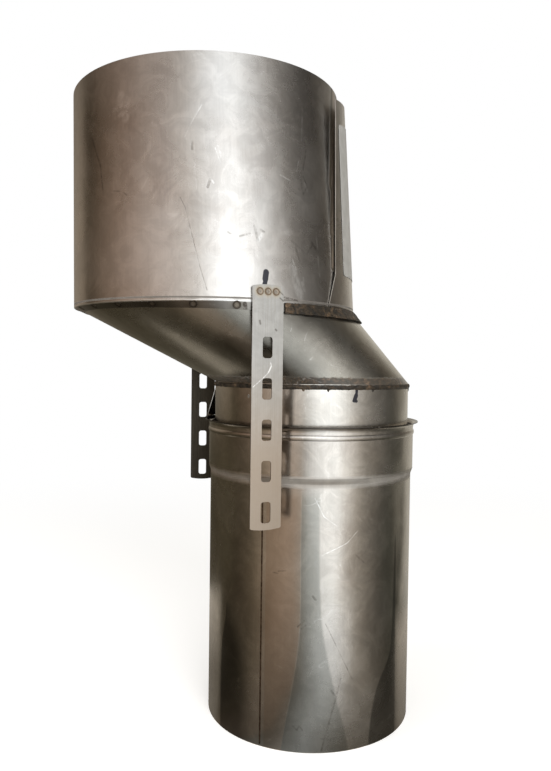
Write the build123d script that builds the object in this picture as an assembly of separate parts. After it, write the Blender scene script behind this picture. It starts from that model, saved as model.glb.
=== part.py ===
from build123d import *
import math
import os

# Flue pot adapter standing in its length of flue pipe.
# Millimetres, Z up. The origin is the centre of the pipe's bottom edge.
# Angles in plan start at the front (-Y) and grow towards +X.

# Sheet and fits
sheet = 0.8
seat_gap = 0.3

# Flue pipe
pipe_radius = 100.0
socket_rise = 1.8
step_low = 238.0
step_high = 243.0
bead_centre = 278.5
bead_half = 2.5
bead_rise = 0.9
lip_start = 283.3
lip_reach = 4.5
pipe_seam_angle = -24.6
pipe_seam_width = 1.6
pipe_seam_depth = 0.3
pipe_seam_rise = 0.15
pipe_seam_margin = 2.0

# Sealing rope in the socket mouth
rope_level = 284.0
rope_thick = 4.1
rope_gap = seat_gap

# Lower collar with its sprung lap end
collar_bottom = 250.0
collar_top = 325.4
flap_root_angle = -130.5
flap_end_angle = -96.0
flap_run = 54.0
flap_sheet = 0.6
flap_root_depth = 0.1
flap_top_rise = 0.9

# Upper sleeve: one rolled sheet with an open lap
sleeve_bottom = 395.0
sleeve_low_x = -98.0
sleeve_low_radius = 138.0
sleeve_low_spring = 0.8
sleeve_low_lap = 59.1
sleeve_low_inner = 68.0
sleeve_high = 606.0
sleeve_drift = 10.3
sleeve_taper = 8.2
sleeve_high_spring = 6.65
sleeve_high_lap = 68.6
sleeve_high_inner = 87.5
outer_split = 75.0
inner_split = 55.0
lap_ear_angle = 4.6
lap_ear_tall = 30.0
rim_level = 600.0
rim_tilt = 1.4
corner_level = 595.15
corner_slope = 0.154
corner_clear = 2.4
corner_end = 118.0

# Flange turned along the cone
flange_level = 1.2
flange_gap = 0.4
hem_step = 0.1
flange_drop_middle = 6.75
flange_drop_slope = 2.25 / 138.0
flange_weld_count = 24
flange_weld_radius = 3.6
flange_weld_first = -2.0
flange_weld_drop = 0.52
flange_weld_crown = 0.1
weld_clearance = 0.05

# Offset cone
cone_level = 1.6

# Slotted straps
strap_width = 28.0
strap_thick = 1.2
strap_bottom = 203.0
strap_top = 409.0
strap_standoff = 0.75
strap_cone_gap = 1.0
strap_search_steps = 40
strap_crown = 1.5
strap_corner = 2.0
slot_count = 5
slot_first = 217.9
slot_pitch = 34.64
slot_wide = 8.8
slot_tall = 18.0
slot_corner = 2.6
front_strap_angle = 26.0
rear_strap_angle = 193.5
strap_weld_count = 3
strap_weld_pitch = 7.2
strap_weld_radius = 3.1
strap_weld_level = 403.0
strap_weld_crown = 0.25

# Sealant beads
upper_bead_thick = 1.4
upper_bead_skirt = 1.5
upper_bead_from = 32.6
upper_bead_to = 150.0
lower_bead_thick = 1.5
lower_bead_bottom = 317.5
lower_bead_from = -84.0
lower_bead_to = 150.0

# Blank label on the outer layer of the sleeve
label_front = 68.5
label_back = 106.0
label_bottom = 425.5
label_top = 573.0
label_slope_drop = 8.3
label_slope_long = 42.0
label_corner = 3.0
label_margin = 4.0
label_thick = 0.3
label_gap = 0.2

# Narrow gap that keeps a bead off the sheets it covers
bead_gap = 0.1

# Sizes that follow from the ones above
pipe_inner = pipe_radius - sheet
socket_radius = pipe_radius + socket_rise
socket_inner = socket_radius - sheet
lip_radius = socket_radius + lip_reach
lip_level = lip_start + lip_reach
lip_top = lip_level + sheet
rope_outer = socket_inner - rope_gap
rope_inner = rope_outer - rope_thick
collar_radius = rope_inner - rope_gap
sleeve_high_x = sleeve_low_x - sleeve_drift
sleeve_high_radius = sleeve_low_radius - sleeve_taper
cone_top_radius = sleeve_low_radius - hem_step - flange_level - flange_gap
flange_offset = flange_gap + flange_level
sleeve_rise = sleeve_high - sleeve_bottom
far = 4 * sleeve_low_radius


def plan_point(radius, angle, centre_x=0.0, centre_y=0.0, level=0.0):
    """Point at a radius and plan angle around a centre."""
    turn = math.radians(angle)
    x = centre_x + radius * math.sin(turn)
    y = centre_y - radius * math.cos(turn)
    return Vector(x, y, level)


def plan_arc(radius, start, end, centre_x=0.0, centre_y=0.0, level=0.0):
    """Arc around a centre between two plan angles."""
    middle = (start + end) / 2
    points = [plan_point(radius, a, centre_x, centre_y, level) for a in (start, middle, end)]
    return ThreePointArc(*points)


def closed_face(edges):
    """Flat face inside a closed run of edges."""
    return Face(Wire(Curve(edges).edges()))


def plan_sector(start, end, centre_x, low, high, reach):
    """Wedge that reaches out from a centre between two plan angles."""
    section = Plane.XZ * Pos(reach / 2, (low + high) / 2) * Rectangle(reach, high - low)
    wedge = revolve(section, axis=Axis.Z, revolution_arc=end - start)
    return Pos(centre_x, 0, 0) * Rot(0, 0, start - 90) * wedge


# Flue pipe
def build_flue_pipe():
    """Plain pipe with a swaged socket, a shallow bead and a flared lip."""
    outer_bead = bead_rise + socket_radius
    inner_bead = bead_rise + socket_inner
    bead_low = bead_centre - bead_half
    bead_high = bead_centre + bead_half
    lip_middle = math.radians(45)
    inner_reach = lip_reach + sheet

    def lip_point(reach):
        across = lip_radius - reach * math.cos(lip_middle)
        return (across, lip_start + reach * math.sin(lip_middle))

    edges = [
        Line((pipe_inner, 0), (pipe_radius, 0)),
        Line((pipe_radius, 0), (pipe_radius, step_low)),
        Line((pipe_radius, step_low), (socket_radius, step_high)),
        Line((socket_radius, step_high), (socket_radius, bead_low)),
        ThreePointArc((socket_radius, bead_low), (outer_bead, bead_centre), (socket_radius, bead_high)),
        Line((socket_radius, bead_high), (socket_radius, lip_start)),
        ThreePointArc((socket_radius, lip_start), lip_point(lip_reach), (lip_radius, lip_level)),
        Line((lip_radius, lip_level), (lip_radius, lip_top)),
        ThreePointArc((lip_radius, lip_top), lip_point(inner_reach), (socket_inner, lip_start)),
        Line((socket_inner, lip_start), (socket_inner, bead_high)),
        ThreePointArc((socket_inner, bead_high), (inner_bead, bead_centre), (socket_inner, bead_low)),
        Line((socket_inner, bead_low), (socket_inner, step_high)),
        Line((socket_inner, step_high), (pipe_inner, step_low)),
        Line((pipe_inner, step_low), (pipe_inner, 0)),
    ]
    return revolve(Plane.XZ * closed_face(edges), axis=Axis.Z)


def pipe_seam_bar(width, inner, outer):
    """Upright bar in the pipe's wall along its seam."""
    tall = step_low - 2 * pipe_seam_margin
    bar = Box(width, outer - inner, tall)
    placed = Pos(0, -(outer + inner) / 2, step_low / 2) * bar
    return Rot(0, 0, pipe_seam_angle) * placed


seam_floor = pipe_radius - pipe_seam_depth
flue_pipe = build_flue_pipe() - pipe_seam_bar(pipe_seam_width, seam_floor, pipe_radius + sheet)
pipe_seam_weld = pipe_seam_bar(
    pipe_seam_width - 2 * weld_clearance, seam_floor, pipe_radius + pipe_seam_rise
)


# Sealing rope
rope_ring_radius = (rope_outer + rope_inner) / 2
socket_sealing_rope = Pos(0, 0, rope_level) * Torus(rope_ring_radius, rope_thick / 2)


# Lower collar
def flap_face(level, bottom):
    """Outline of the sprung lap end at one level."""
    edges = []
    faces = []
    for depth in (flap_root_depth, flap_root_depth + flap_sheet):
        start = plan_point(collar_radius - depth, flap_root_angle, level=level)
        if bottom:
            along = math.radians(flap_root_angle)
            end = start + Vector(math.cos(along), math.sin(along)) * flap_run
            edges.append(Line(start, end))
        else:
            middle_angle = (flap_root_angle + flap_end_angle) / 2
            middle = plan_point(collar_radius - depth + flap_top_rise / 2, middle_angle, level=level)
            end = plan_point(collar_radius - depth + flap_top_rise, flap_end_angle, level=level)
            edges.append(ThreePointArc(start, middle, end))
        faces.append((start, end))
    (outer_start, outer_end), (inner_start, inner_end) = faces
    edges.append(Line(outer_end, inner_end))
    edges.append(Line(inner_start, outer_start))
    return closed_face(edges)


collar_height = collar_top - collar_bottom
collar_middle = (collar_top + collar_bottom) / 2
collar_ring = Pos(0, 0, collar_middle) * (
    Cylinder(collar_radius, collar_height) - Cylinder(collar_radius - sheet, collar_height)
)
collar_flap = loft(
    [flap_face(lip_top + seat_gap, True), flap_face(collar_top - seat_gap, False)], ruled=True
)
lower_collar = collar_ring + collar_flap


# Offset cone
def slanted_cone(offset):
    """Solid between collar and sleeve, its outer face moved out level by an offset."""
    low = Pos(0, 0, collar_top) * Circle(collar_radius + offset)
    high = Pos(sleeve_low_x, 0, sleeve_bottom) * Circle(cone_top_radius + offset)
    return loft([low, high], ruled=True)


offset_cone = slanted_cone(0) - slanted_cone(-cone_level)


# Upper sleeve
sleeve_low = (sleeve_low_x, sleeve_low_radius, sleeve_low_spring, sleeve_low_lap, sleeve_low_inner)
sleeve_up = (sleeve_high_x, sleeve_high_radius, sleeve_high_spring, sleeve_high_lap, sleeve_high_inner)


def scroll_sizes(level):
    """Centre, radius, spring, lap angle and inner end angle of the rolled sheet at one level."""
    share = (level - sleeve_bottom) / sleeve_rise
    return [low + (high - low) * share for low, high in zip(sleeve_low, sleeve_up)]


def scroll_face(level, ear):
    """Outline of the rolled sheet at one level, its outer layer sprung open towards the front."""
    centre_x, radius, spring, lap, inner = scroll_sizes(level)

    def outer_layer(back, start, end):
        return plan_arc(radius + spring - back, start, end, centre_x, -spring, level)

    def main_layer(back, start, end):
        return plan_arc(radius - back, start, end, centre_x, 0, level)

    front = lap - ear
    turns = [180, 270, 360 + inner_split, 360 + inner]
    outside = [outer_layer(0, front, outer_split), outer_layer(0, outer_split, 180)]
    inside = [outer_layer(sheet, front, outer_split), outer_layer(sheet, outer_split, 180)]
    for start, end in zip(turns, turns[1:]):
        outside.append(main_layer(0, start, end))
        inside.append(main_layer(sheet, start, end))
    lap_end = Line(inside[0] @ 0, outside[0] @ 0)
    inner_end = Line(outside[-1] @ 1, inside[-1] @ 1)
    return closed_face([lap_end] + outside + [inner_end] + inside[::-1])


def rim_plane():
    """Plane of the sleeve's slightly tilted top rim, facing down."""
    tilt = math.radians(rim_tilt)
    return Plane(origin=(sleeve_high_x, 0, rim_level), z_dir=(math.sin(tilt), 0, -math.cos(tilt)))


def corner_cutter():
    """Block over the outer layer only, which slopes its top edge down towards the lap."""
    reach = 2 * sleeve_high_radius
    low = corner_level - corner_slope * sleeve_high_radius
    start = sleeve_high_lap - 2 * lap_ear_angle
    block = plan_sector(start, corner_end, sleeve_high_x, low, sleeve_high + sheet, reach)
    core = Pos(sleeve_high_x, 0, rim_level) * Cylinder(sleeve_high_radius + corner_clear, reach)
    slope = Plane(origin=(0, 0, corner_level), z_dir=(0, -corner_slope, 1))
    return split(block - core, bisect_by=slope, keep=Keep.TOP)


def flange_cut_plane(lower):
    """Plane of the flange's lower edge, moved down by an amount."""
    level = sleeve_bottom - flange_drop_middle - lower
    return Plane(origin=(sleeve_low_x, 0, level), z_dir=(flange_drop_slope, 0, 1))


ear_top = sleeve_bottom + lap_ear_tall
scroll_faces = [
    scroll_face(sleeve_bottom, lap_ear_angle),
    scroll_face(ear_top, 0),
    scroll_face(sleeve_high, 0),
]
rolled_sheet = loft(scroll_faces, ruled=True)
rolled_sheet = split(rolled_sheet, bisect_by=rim_plane(), keep=Keep.TOP) - corner_cutter()
flange_shell = slanted_cone(flange_offset) - slanted_cone(flange_gap)
flange = split(flange_shell, bisect_by=flange_cut_plane(0), keep=Keep.TOP)
upper_sleeve = rolled_sheet + flange


# Spot welds of the flange
def flange_weld_bar(angle, radius):
    """Short bar through the flange, square to its slope."""
    top = plan_point(sleeve_low_radius, angle, sleeve_low_x, level=sleeve_bottom)
    low = plan_point(collar_radius + flange_offset, angle, level=collar_top)
    run = low - top
    drop = flange_drop_middle + flange_drop_slope * (top.X - sleeve_low_x)
    centre = top + run * (flange_weld_drop * drop / (top.Z - low.Z))
    turn = math.radians(angle)
    around = Vector(math.cos(turn), math.sin(turn), 0)
    place = Plane(origin=centre, x_dir=around, z_dir=run.cross(around))
    return place * Cylinder(radius, 4 * flange_level)


weld_shell = slanted_cone(flange_offset + flange_weld_crown) - slanted_cone(flange_gap)
flange_welds = []
for index in range(flange_weld_count):
    weld_angle = flange_weld_first + index * 360 / flange_weld_count
    flange_welds.append(weld_shell & flange_weld_bar(weld_angle, flange_weld_radius))
    upper_sleeve -= flange_weld_bar(weld_angle, flange_weld_radius + weld_clearance)
flange_spot_welds = Part() + flange_welds


# Slotted straps
def strap_place(angle):
    """Location that turns a strap drawn at the front to its plan angle."""
    return Pos(sleeve_low_x, 0, 0) * Rot(0, 0, angle)


def strap_lean(angle):
    """How fast the sleeve's face draws back with height at a plan angle."""
    return (sleeve_taper + sleeve_drift * math.sin(math.radians(angle))) / sleeve_rise


def cone_reach(angle):
    """Farthest that the cone stands out behind a strap, from the sleeve's centre line."""
    turn = math.radians(angle)
    reaches = []
    for step in range(strap_search_steps + 1):
        share = step / strap_search_steps
        radius = collar_radius + (cone_top_radius - collar_radius) * share
        centre = -sleeve_low_x * (1 - share)
        beside = max(abs(centre * math.cos(turn)) - strap_width / 2, 0)
        if beside < radius:
            reaches.append(centre * math.sin(turn) + math.sqrt(radius**2 - beside**2))
    return max(reaches)


def strap_distance(angle):
    """Distance of a strap's inner face from the sleeve's centre line, clear of sleeve and cone."""
    return max(sleeve_low_radius + strap_standoff, cone_reach(angle) + strap_cone_gap)


def strap_at_front(lean, distance):
    """Bent and slotted strip, its inner face towards the sleeve."""
    back = (strap_top - sleeve_bottom) * lean
    inner = -distance
    outer = inner - strap_thick
    side = Polyline(
        (inner, strap_bottom),
        (inner, sleeve_bottom),
        (inner + back, strap_top),
        (outer + back, strap_top),
        (outer, sleeve_bottom),
        (outer, strap_bottom),
        close=True,
    )
    bent = extrude(Plane.YZ * make_face(side), amount=strap_width, both=True)
    half = strap_width / 2
    low = strap_bottom + strap_crown
    high = strap_top - strap_crown
    outline = closed_face(
        [
            ThreePointArc((-half, low), (0, strap_bottom), (half, low)),
            Line((half, low), (half, high)),
            ThreePointArc((half, high), (0, strap_top), (-half, high)),
            Line((-half, high), (-half, low)),
        ]
    )
    rounded = fillet((Sketch() + outline).vertices(), strap_corner)
    strip = bent & extrude(Plane.XZ * rounded, amount=far)
    for index in range(slot_count):
        level = slot_first + index * slot_pitch
        slot = Pos(0, level) * RectangleRounded(slot_wide, slot_tall, slot_corner)
        strip -= extrude(Plane.XZ * slot, amount=far)
    return strip


def strap_weld_bar(index, lean, distance, radius, inside, outside):
    """Round bar through the leaning top of a strap."""
    across = (index - (strap_weld_count - 1) / 2) * strap_weld_pitch
    back = (strap_weld_level - sleeve_bottom) * lean
    place = Plane(
        origin=(across, back - distance, strap_weld_level),
        x_dir=(1, 0, 0),
        z_dir=(0, -1, lean),
    )
    return place * Pos(0, 0, (outside - inside) / 2) * Cylinder(radius, inside + outside)


def build_strap(angle):
    """Strap and its row of welds, both placed at a plan angle."""
    lean = strap_lean(angle)
    distance = strap_distance(angle)
    strip = strap_at_front(lean, distance)
    welds = Part()
    hole_radius = strap_weld_radius + weld_clearance
    inside = distance - sleeve_low_radius - weld_clearance
    outside = strap_thick + strap_weld_crown
    for index in range(strap_weld_count):
        strip -= strap_weld_bar(index, lean, distance, hole_radius, strap_thick, 2 * strap_thick)
        welds += strap_weld_bar(index, lean, distance, strap_weld_radius, inside, outside)
    place = strap_place(angle)
    return place * strip, place * welds


front_strap, front_strap_welds = build_strap(front_strap_angle)
rear_strap, rear_strap_welds = build_strap(rear_strap_angle)


# Upper sealant bead over the flange on the lap's side
bead_block = slanted_cone(flange_offset + upper_bead_thick)
bead_block = split(bead_block, bisect_by=flange_cut_plane(upper_bead_skirt), keep=Keep.TOP)
flange_block = slanted_cone(flange_offset + flange_weld_crown + bead_gap)
flange_block = split(flange_block, bisect_by=flange_cut_plane(bead_gap), keep=Keep.TOP)
bead_sector = plan_sector(
    upper_bead_from,
    upper_bead_to,
    sleeve_low_x,
    sleeve_bottom - 4 * flange_drop_middle,
    sleeve_bottom - seat_gap,
    sleeve_low_radius * 2,
)
upper_seam_sealant = (bead_block - flange_block - slanted_cone(bead_gap)) & bead_sector


# Lower sealant bead around the top of the collar
bead_inner = collar_radius + bead_gap
bead_outer = collar_radius + lower_bead_thick
bead_top = collar_top - seat_gap
bead_section = closed_face(
    [
        Line((bead_inner, bead_top), (bead_inner, lower_bead_bottom)),
        ThreePointArc(
            (bead_inner, lower_bead_bottom),
            (bead_outer, (bead_top + lower_bead_bottom) / 2),
            (bead_inner + lower_bead_thick / 2, bead_top),
        ),
        Line((bead_inner + lower_bead_thick / 2, bead_top), (bead_inner, bead_top)),
    ]
)
bead_ring = revolve(Plane.XZ * bead_section, axis=Axis.Z, revolution_arc=lower_bead_to - lower_bead_from)
lower_seam_sealant = Rot(0, 0, lower_bead_from - 90) * bead_ring


# Blank label
def label_band(level):
    """Thin band that stands off the outer layer at one level."""
    centre_x, radius, spring, _, _ = scroll_sizes(level)
    low = radius + spring + label_gap
    start = label_front - label_margin
    end = label_back + label_margin
    inner = plan_arc(low, start, end, centre_x, -spring, level)
    outer = plan_arc(low + label_thick, start, end, centre_x, -spring, level)
    return closed_face([inner, Line(inner @ 1, outer @ 1), outer, Line(outer @ 0, inner @ 0)])


def label_outline():
    """Side view of the label, its front top corner sloped off and all corners rounded."""
    centre_x, radius, spring, _, _ = scroll_sizes((label_bottom + label_top) / 2)
    front = plan_point(radius + spring, label_front, centre_x, -spring).Y
    back = plan_point(radius + spring, label_back, centre_x, -spring).Y
    outline = Polyline(
        (front, label_bottom),
        (back, label_bottom),
        (back, label_top),
        (front + label_slope_long, label_top),
        (front, label_top - label_slope_drop),
        close=True,
    )
    return fillet(make_face(outline).vertices(), label_corner)


label_block = Pos(sleeve_low_x, 0, 0) * extrude(Plane.YZ * label_outline(), amount=far)
blank_label = label_block & loft([label_band(sleeve_bottom), label_band(sleeve_high)], ruled=True)


pieces = {
    "flue_pipe": flue_pipe,
    "pipe_seam_weld": pipe_seam_weld,
    "socket_sealing_rope": socket_sealing_rope,
    "lower_collar": lower_collar,
    "offset_cone": offset_cone,
    "upper_sleeve": upper_sleeve,
    "flange_spot_welds": flange_spot_welds,
    "front_strap": front_strap,
    "front_strap_welds": front_strap_welds,
    "rear_strap": rear_strap,
    "rear_strap_welds": rear_strap_welds,
    "upper_seam_sealant": upper_seam_sealant,
    "lower_seam_sealant": lower_seam_sealant,
    "blank_label": blank_label,
}

os.makedirs("parts", exist_ok=True)
for name, piece in pieces.items():
    export_step(piece, f"parts/{name}.step")
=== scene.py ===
import bpy
import math
from functools import partial
from mathutils import Matrix, Vector


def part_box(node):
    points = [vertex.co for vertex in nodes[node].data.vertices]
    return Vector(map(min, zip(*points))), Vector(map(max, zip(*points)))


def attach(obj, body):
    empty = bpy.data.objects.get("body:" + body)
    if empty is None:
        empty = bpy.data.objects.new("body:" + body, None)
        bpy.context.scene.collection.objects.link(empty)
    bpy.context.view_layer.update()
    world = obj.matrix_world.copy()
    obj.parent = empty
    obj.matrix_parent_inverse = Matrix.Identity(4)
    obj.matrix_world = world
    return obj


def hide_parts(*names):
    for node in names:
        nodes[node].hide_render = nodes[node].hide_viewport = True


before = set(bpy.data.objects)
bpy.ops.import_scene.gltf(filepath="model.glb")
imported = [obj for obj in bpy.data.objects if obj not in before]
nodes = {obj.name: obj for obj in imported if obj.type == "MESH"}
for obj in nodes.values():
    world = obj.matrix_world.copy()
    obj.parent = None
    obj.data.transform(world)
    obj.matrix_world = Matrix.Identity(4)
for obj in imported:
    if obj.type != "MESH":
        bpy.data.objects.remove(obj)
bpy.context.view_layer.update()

mm = 0.001

# Places shared with the solids, in metres
sleeve_x = -98.0 * mm
sleeve_radius = 138.0 * mm
sleeve_foot = 395.0 * mm
sleeve_head_x = -108.3 * mm
sleeve_head_radius = 129.8 * mm
sleeve_head = 606.0 * mm
collar_radius = 96.3 * mm
pipe_radius = 100.0 * mm
cone_foot = 325.4 * mm
cone_foot_radius = 97.9 * mm
cone_head_radius = 136.3 * mm
rope_radius = 98.65 * mm
rope_level = 284.0 * mm
rope_turns = 44
flange_weld_count = 24
flange_weld_first = math.radians(-2.0)
# How far down the cone the flange's welds stand, as a share of its height, and how that changes around it
weld_share_middle = 0.52 * 6.75 * mm / (sleeve_foot - cone_foot)
weld_share_slope = 0.52 * 2.25 * mm / (sleeve_foot - cone_foot)
strap_face = 139.95 * mm
# Each weld's place across the strap and its level
strap_weld_places = [(-7.2 * mm, 403.0 * mm), (0.0, 403.0 * mm), (7.2 * mm, 403.0 * mm)]
front_strap_turn = math.radians(26.0)
rear_strap_turn = math.radians(193.5)

# Each rolled sheet: level, centre and outer radius at its foot and at its head
sleeve_low = (sleeve_foot, sleeve_x, sleeve_radius)
sleeve_high = (sleeve_head, sleeve_head_x, sleeve_head_radius)
pipe_low = (0.0, 0.0, pipe_radius)
pipe_high = (288.6 * mm, 0.0, 101.8 * mm)
collar_low = (250.0 * mm, 0.0, collar_radius)
collar_high = (cone_foot, 0.0, collar_radius)
cone_low = (cone_foot, 0.0, collar_radius)
cone_high = (sleeve_foot, sleeve_x, cone_head_radius)

# Settings that many nodes share
minus = {"operation": "SUBTRACT"}
times = {"operation": "MULTIPLY"}
times_plus = {"operation": "MULTIPLY_ADD"}
most = {"operation": "MAXIMUM"}
absolute = {"operation": "ABSOLUTE"}
smooth = {"interpolation_type": "SMOOTHSTEP"}
in_colour = {"data_type": "RGBA"}
shading = {"data_type": "RGBA", "blend_type": "MULTIPLY"}


# Colours and nodes
def colour(hex_value, alpha=1.0):
    """Linear colour from a written sRGB value."""
    parts = [int(hex_value[i:i + 2], 16) / 255 for i in (1, 3, 5)]
    linear = [p / 12.92 if p <= 0.04045 else ((p + 0.055) / 1.055) ** 2.4 for p in parts]
    return (*linear, alpha)


def add_node(tree, kind, inputs=(), stops=(), **settings):
    """One node with its settings, its inputs and its ramp stops.

    An input is a value, a written colour, a socket, or a node that gives its first output in use."""
    made = tree.nodes.new("ShaderNode" + kind)
    for name, value in settings.items():
        setattr(made, name, value)
    for name, value in inputs.items() if isinstance(inputs, dict) else enumerate(inputs):
        if isinstance(value, bpy.types.Node):
            value = next(output for output in value.outputs if output.enabled)
        if isinstance(value, bpy.types.NodeSocket):
            tree.links.new(value, made.inputs[name])
        else:
            made.inputs[name].default_value = colour(value) if isinstance(value, str) else value
    if stops:
        elements = made.color_ramp.elements
        while len(elements) < len(stops):
            elements.new(0.5)
        for element, (place, shade) in zip(elements, stops):
            element.position = place
            element.color = colour(shade) if isinstance(shade, str) else shade
    return made


def empty_tree(owner):
    """Clears the nodes of a material or world and gives the call that adds new ones."""
    owner.use_nodes = True
    owner.node_tree.nodes.clear()
    return partial(add_node, owner.node_tree)


def new_finish(name):
    """New material, the call that adds its nodes, and its coordinates."""
    material = bpy.data.materials.new(name)
    add = empty_tree(material)
    return material, add, add("TexCoord").outputs


def layered(add, shade, layers):
    """Colours laid over a first one. Each layer is a colour, its strength and its mask."""
    for over, amount, mask in layers:
        mask = add("Math", (mask, amount), **times)
        shade = add("Mix", {0: mask, 6: shade, 7: over}, **in_colour)
    return shade


def pick(*pieces):
    """Selects these pieces alone, the first one active, before an operator runs."""
    if bpy.context.object and bpy.context.object.mode != "OBJECT":
        bpy.ops.object.mode_set(mode="OBJECT")
    bpy.ops.object.select_all(action="DESELECT")
    for piece in pieces:
        piece.select_set(True)
    if pieces:
        bpy.context.view_layer.objects.active = pieces[0]


# Camera at the photograph's viewing angle
def place_camera():
    """Camera low in front, turned a little left, tipped down and rolled."""
    eye = Vector((0.0, -0.7159, 0.3414))
    turn = math.radians(2.88)
    tip = math.radians(1.61)
    roll = math.radians(0.75)
    ahead = Vector((-math.sin(turn) * math.cos(tip), math.cos(turn) * math.cos(tip), -math.sin(tip)))
    level = Vector((math.cos(turn), math.sin(turn), 0.0))
    above = level.cross(ahead)
    right = level * math.cos(roll) + above * math.sin(roll)
    up = above * math.cos(roll) - level * math.sin(roll)
    data = bpy.data.cameras.new("photo_camera")
    data.sensor_fit = "VERTICAL"
    data.sensor_height = 24.0
    focal_pixels = 708.0
    picture_height = 771.0
    data.lens = data.sensor_height * focal_pixels / picture_height
    data.clip_start = 0.01
    camera = bpy.data.objects.new("photo_camera", data)
    bpy.context.scene.collection.objects.link(camera)
    rows = Matrix((right, up, -ahead)).transposed().to_4x4()
    camera.matrix_world = Matrix.Translation(eye) @ rows
    bpy.context.scene.camera = camera


# Studio: pale floor, white surround, soft lamps and a dim card that only shows in metal
def seen_rays(add):
    """1 for camera, mirror and clear rays, 0 for the soft light that fills the room."""
    path = add("LightPath").outputs
    seen = add("Math", (path["Is Camera Ray"], path["Is Glossy Ray"]), **most)
    return add("Math", (seen, path["Is Transmission Ray"]), **most)


def studio_world():
    """White behind the object and in its reflections, soft fill for everything else."""
    world = bpy.data.worlds.new("studio_world")
    bpy.context.scene.world = world
    add = empty_tree(world)
    fill = add("Background", {"Color": "#f4f2ee", "Strength": 0.55})
    white = add("Background", {"Color": "#ffffff", "Strength": 1.0})
    mixed = add("MixShader", (seen_rays(add), fill, white))
    add("OutputWorld", {"Surface": mixed})


def studio_floor():
    """Plain pale floor under the pipe."""
    pick()
    bpy.ops.mesh.primitive_circle_add(vertices=96, radius=6.0, fill_type="NGON", location=(0, 0, 0))
    floor = bpy.context.object
    floor.name = "studio_floor"
    # Matt white floor paint, lit a little from within
    material, add, coords = new_finish("matt_white_floor_paint")
    paint = add("BsdfPrincipled", {"Base Color": "#fbfaf8", "Roughness": 0.9, "Specular IOR Level": 0.0})
    glow = add("Emission", {"Color": "#ffffff", "Strength": 0.38})
    both = add("AddShader", (paint, glow))
    # The paint fades into the white surround, so that no horizon shows
    white = add("Emission", {"Color": "#ffffff", "Strength": 1.0})
    out = add("VectorMath", (coords["Object"],), operation="LENGTH")
    far = add("MapRange", (out, 0.35, 1.6), **smooth)
    shown = add("MixShader", (far, both, white))
    mixed = add("MixShader", (seen_rays(add), paint, shown))
    add("OutputMaterial", {"Surface": mixed})
    floor.data.materials.append(material)


def plan_angle(add, parts, centre):
    """Place across from an upright middle line, and the angle around it, 0 in front."""
    across = add("Math", (parts[0], centre), **minus)
    front = add("Math", (parts[1], -1.0), **times)
    return across, add("Math", (across, front), operation="ARCTAN2")


# What the metal mirrors, high up and low down: degrees from the front, then linear red, green and blue
card_upper = [
    (-180, 0.3, 0.28, 0.24), (-150, 0.24, 0.21, 0.17), (-128, 0.36, 0.31, 0.25), (-105, 0.38, 0.31, 0.24),
    (-101, 0.08, 0.06, 0.04), (-92, 0.08, 0.06, 0.04), (-78, 0.22, 0.155, 0.11), (-64, 0.38, 0.28, 0.22),
    (-52, 0.54, 0.42, 0.36), (-41, 0.73, 0.62, 0.56), (-30, 0.86, 0.77, 0.74), (-21, 1.0, 0.93, 0.9),
    (-12, 1.15, 1.13, 1.12), (-4, 1.5, 1.55, 1.61), (5, 2.25, 2.38, 2.55), (15, 2.8, 2.99, 3.22),
    (26, 2.45, 2.61, 2.8), (37, 1.66, 1.73, 1.82), (48, 1.02, 1.03, 1.05), (61, 0.5, 0.49, 0.48),
    (77, 0.2, 0.195, 0.19), (95, 0.105, 0.1, 0.095), (112, 0.14, 0.125, 0.105), (126, 0.24, 0.215, 0.18),
    (148, 0.78, 0.74, 0.66), (166, 0.74, 0.7, 0.62), (180, 0.3, 0.28, 0.24),
]
card_lower = [
    (-180, 0.3, 0.28, 0.24), (-160, 0.12, 0.11, 0.08), (-145, 0.07, 0.06, 0.04), (-118, 0.085, 0.07, 0.045),
    (-100, 0.095, 0.08, 0.05), (-77, 0.075, 0.06, 0.04), (-60, 0.18, 0.145, 0.1), (-44, 0.33, 0.265, 0.19),
    (-31, 0.53, 0.425, 0.335), (-18, 0.65, 0.535, 0.44), (-7, 0.64, 0.54, 0.46), (-3, 0.55, 0.55, 0.52),
    (4, 0.68, 0.71, 0.71), (14, 1.35, 1.43, 1.5), (27, 2.25, 2.4, 2.56), (38, 1.55, 1.58, 1.6),
    (50, 0.78, 0.74, 0.68), (63, 0.36, 0.335, 0.3), (77, 0.15, 0.14, 0.125), (94, 0.085, 0.088, 0.076),
    (106, 0.1, 0.097, 0.08), (115, 0.46, 0.44, 0.38), (130, 0.66, 0.63, 0.56), (180, 0.6, 0.57, 0.5),
]


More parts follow.
